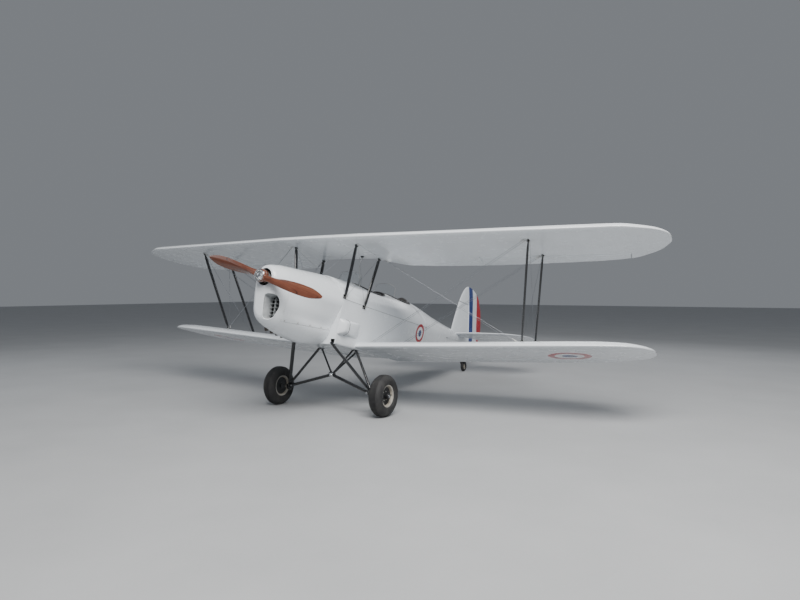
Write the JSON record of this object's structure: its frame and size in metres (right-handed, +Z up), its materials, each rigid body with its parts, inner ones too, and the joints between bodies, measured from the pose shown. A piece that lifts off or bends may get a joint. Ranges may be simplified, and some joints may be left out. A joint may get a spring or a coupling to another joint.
{
  "type": "biplane",
  "caption": "Open-cockpit tandem biplane on a fixed tailwheel gear, with a wooden propeller, staggered braced wings, ailerons, rudder and elevator that turn.",
  "frame": {"origin": "on the ground, under the middle of the span and of the length, with the aircraft parked on its main wheels and tailwheel", "axes": "+Z up from the ground, -Y the way the nose points along the ground, +X the pilot's left (port). The airframe stands 12 degrees nose-up."},
  "size_m": [8.374, 6.7895, 2.3553],
  "materials": {
    "painted_ply": "gloss white paint over plywood and frames",
    "doped_fabric": "gloss white dope over fabric",
    "cowl_sheet": "gloss white paint",
    "engine_metal": "cast, dull",
    "laminated_wood": "varnished laminations",
    "bare_steel": "bare, satin",
    "black_paint": "gloss black paint",
    "wheel_alloy": "painted, dusty",
    "tyre_rubber": "matt",
    "clear_screen": "clear sheet",
    "seat_sheet": "painted grey",
    "panel_black": "satin black",
    "black_leather": "padded"
  },
  "bodies": {
    "airframe": {"fuselage_tub": "painted_ply", "top_decking": "painted_ply", "rear_fuselage": "doped_fabric", "upper_centre_section": "doped_fabric", "upper_wing_port": "doped_fabric", "upper_wing_starboard": "doped_fabric", "lower_wing_port": "doped_fabric", "lower_wing_starboard": "doped_fabric", "fin": "doped_fabric", "tailplane_port": "doped_fabric", "tailplane_starboard": "doped_fabric", "firewall": "cowl_sheet", "nose_bowl": "cowl_sheet", "engine_cowl_port": "cowl_sheet", "engine_cowl_starboard": "cowl_sheet", "engine_cowl_bottom": "cowl_sheet", "side_air_scoop": "cowl_sheet", "engine_block": "engine_metal", "flying_wire_front_port": "bare_steel", "flying_wire_front_starboard": "bare_steel", "landing_wire_front_port": "bare_steel", "landing_wire_front_starboard": "bare_steel", "flying_wire_rear_port": "bare_steel", "flying_wire_rear_starboard": "bare_steel", "landing_wire_rear_port": "bare_steel", "landing_wire_rear_starboard": "bare_steel", "cabane_strut_front_port": "black_paint", "cabane_strut_front_starboard": "black_paint", "cabane_strut_rear_port": "black_paint", "cabane_strut_rear_starboard": "black_paint", "interplane_strut_front_port": "black_paint", "interplane_strut_front_starboard": "black_paint", "interplane_strut_rear_port": "black_paint", "interplane_strut_rear_starboard": "black_paint", "main_gear_port": "black_paint", "main_gear_starboard": "black_paint", "axle_pyramid": "black_paint", "tail_spring": "black_paint", "windscreen_front": "clear_screen", "windscreen_rear": "clear_screen", "seat_front": "seat_sheet", "seat_rear": "seat_sheet", "instrument_panel_front": "panel_black", "instrument_panel_rear": "panel_black", "headrest": "black_leather"},
    "propeller": {"propeller": "laminated_wood", "propeller_hub": "bare_steel"},
    "wheel_port": {"wheel_port": "wheel_alloy", "tyre_port": "tyre_rubber"},
    "wheel_starboard": {"wheel_starboard": "wheel_alloy", "tyre_starboard": "tyre_rubber"},
    "rudder": {"rudder": "doped_fabric"},
    "elevator": {"elevator": "doped_fabric"},
    "upper_aileron_port": {"upper_aileron_port": "doped_fabric"},
    "upper_aileron_starboard": {"upper_aileron_starboard": "doped_fabric"},
    "lower_aileron_port": {"lower_aileron_port": "doped_fabric"},
    "lower_aileron_starboard": {"lower_aileron_starboard": "doped_fabric"},
    "tailwheel_fork": {"tailwheel_fork": "black_paint"},
    "tailwheel": {"tailwheel": "tyre_rubber"}
  },
  "joints": [
    {"name": "propeller_shaft", "type": "hinge", "parent": "airframe", "child": "propeller", "pos_m": [0, -3.32462, 1.79436], "axis": [0, 0.9781, -0.2079], "continuous": true},
    {"name": "wheel_port_axle", "type": "hinge", "parent": "airframe", "child": "wheel_port", "pos_m": [0.873, -2.02714, 0.27029], "axis": [1, 0, 0], "continuous": true},
    {"name": "wheel_starboard_axle", "type": "hinge", "parent": "airframe", "child": "wheel_starboard", "pos_m": [-0.873, -2.02714, 0.27029], "axis": [1, 0, 0], "continuous": true},
    {"name": "rudder_hinge", "type": "hinge", "parent": "airframe", "child": "rudder", "pos_m": [0, 2.73251, 0.78802], "axis": [0, 0.0556, 0.9985], "range_deg": [-28, 28]},
    {"name": "elevator_hinge", "type": "hinge", "parent": "airframe", "child": "elevator", "pos_m": [0, 2.38532, 0.70335], "axis": [1, 0, 0], "range_deg": [-25, 28]},
    {"name": "upper_aileron_port_hinge", "type": "hinge", "parent": "airframe", "child": "upper_aileron_port", "pos_m": [2.785, -1.06196, 2.07075], "axis": [0.9884, 0.1516, 0.0003], "range_deg": [-22, 22]},
    {"name": "upper_aileron_starboard_hinge", "type": "hinge", "parent": "airframe", "child": "upper_aileron_starboard", "pos_m": [-2.785, -1.06196, 2.07075], "axis": [0.9884, -0.1516, -0.0003], "range_deg": [-22, 22]},
    {"name": "lower_aileron_port_hinge", "type": "hinge", "parent": "airframe", "child": "lower_aileron_port", "pos_m": [2.495, -0.68151, 0.71585], "axis": [0.9897, 0.1385, 0.0348], "range_deg": [-22, 22]},
    {"name": "lower_aileron_starboard_hinge", "type": "hinge", "parent": "airframe", "child": "lower_aileron_starboard", "pos_m": [-2.495, -0.68151, 0.71585], "axis": [0.9897, -0.1385, -0.0348], "range_deg": [-22, 22]},
    {"name": "tailwheel_steer", "type": "hinge", "parent": "airframe", "child": "tailwheel_fork", "pos_m": [0, 2.4706, 0.268], "axis": [0, 0, 1], "range_deg": [-28, 28]},
    {"name": "tailwheel_axle", "type": "hinge", "parent": "tailwheel_fork", "child": "tailwheel", "pos_m": [0, 2.5256, 0.105], "axis": [1, 0, 0], "continuous": true}
  ],
  "couplings": [
    {"joint": "upper_aileron_starboard_hinge", "follows": "upper_aileron_port_hinge", "ratio": -1},
    {"joint": "lower_aileron_port_hinge", "follows": "upper_aileron_port_hinge", "ratio": 1},
    {"joint": "lower_aileron_starboard_hinge", "follows": "upper_aileron_port_hinge", "ratio": -1},
    {"joint": "tailwheel_steer", "follows": "rudder_hinge", "ratio": 1}
  ]
}
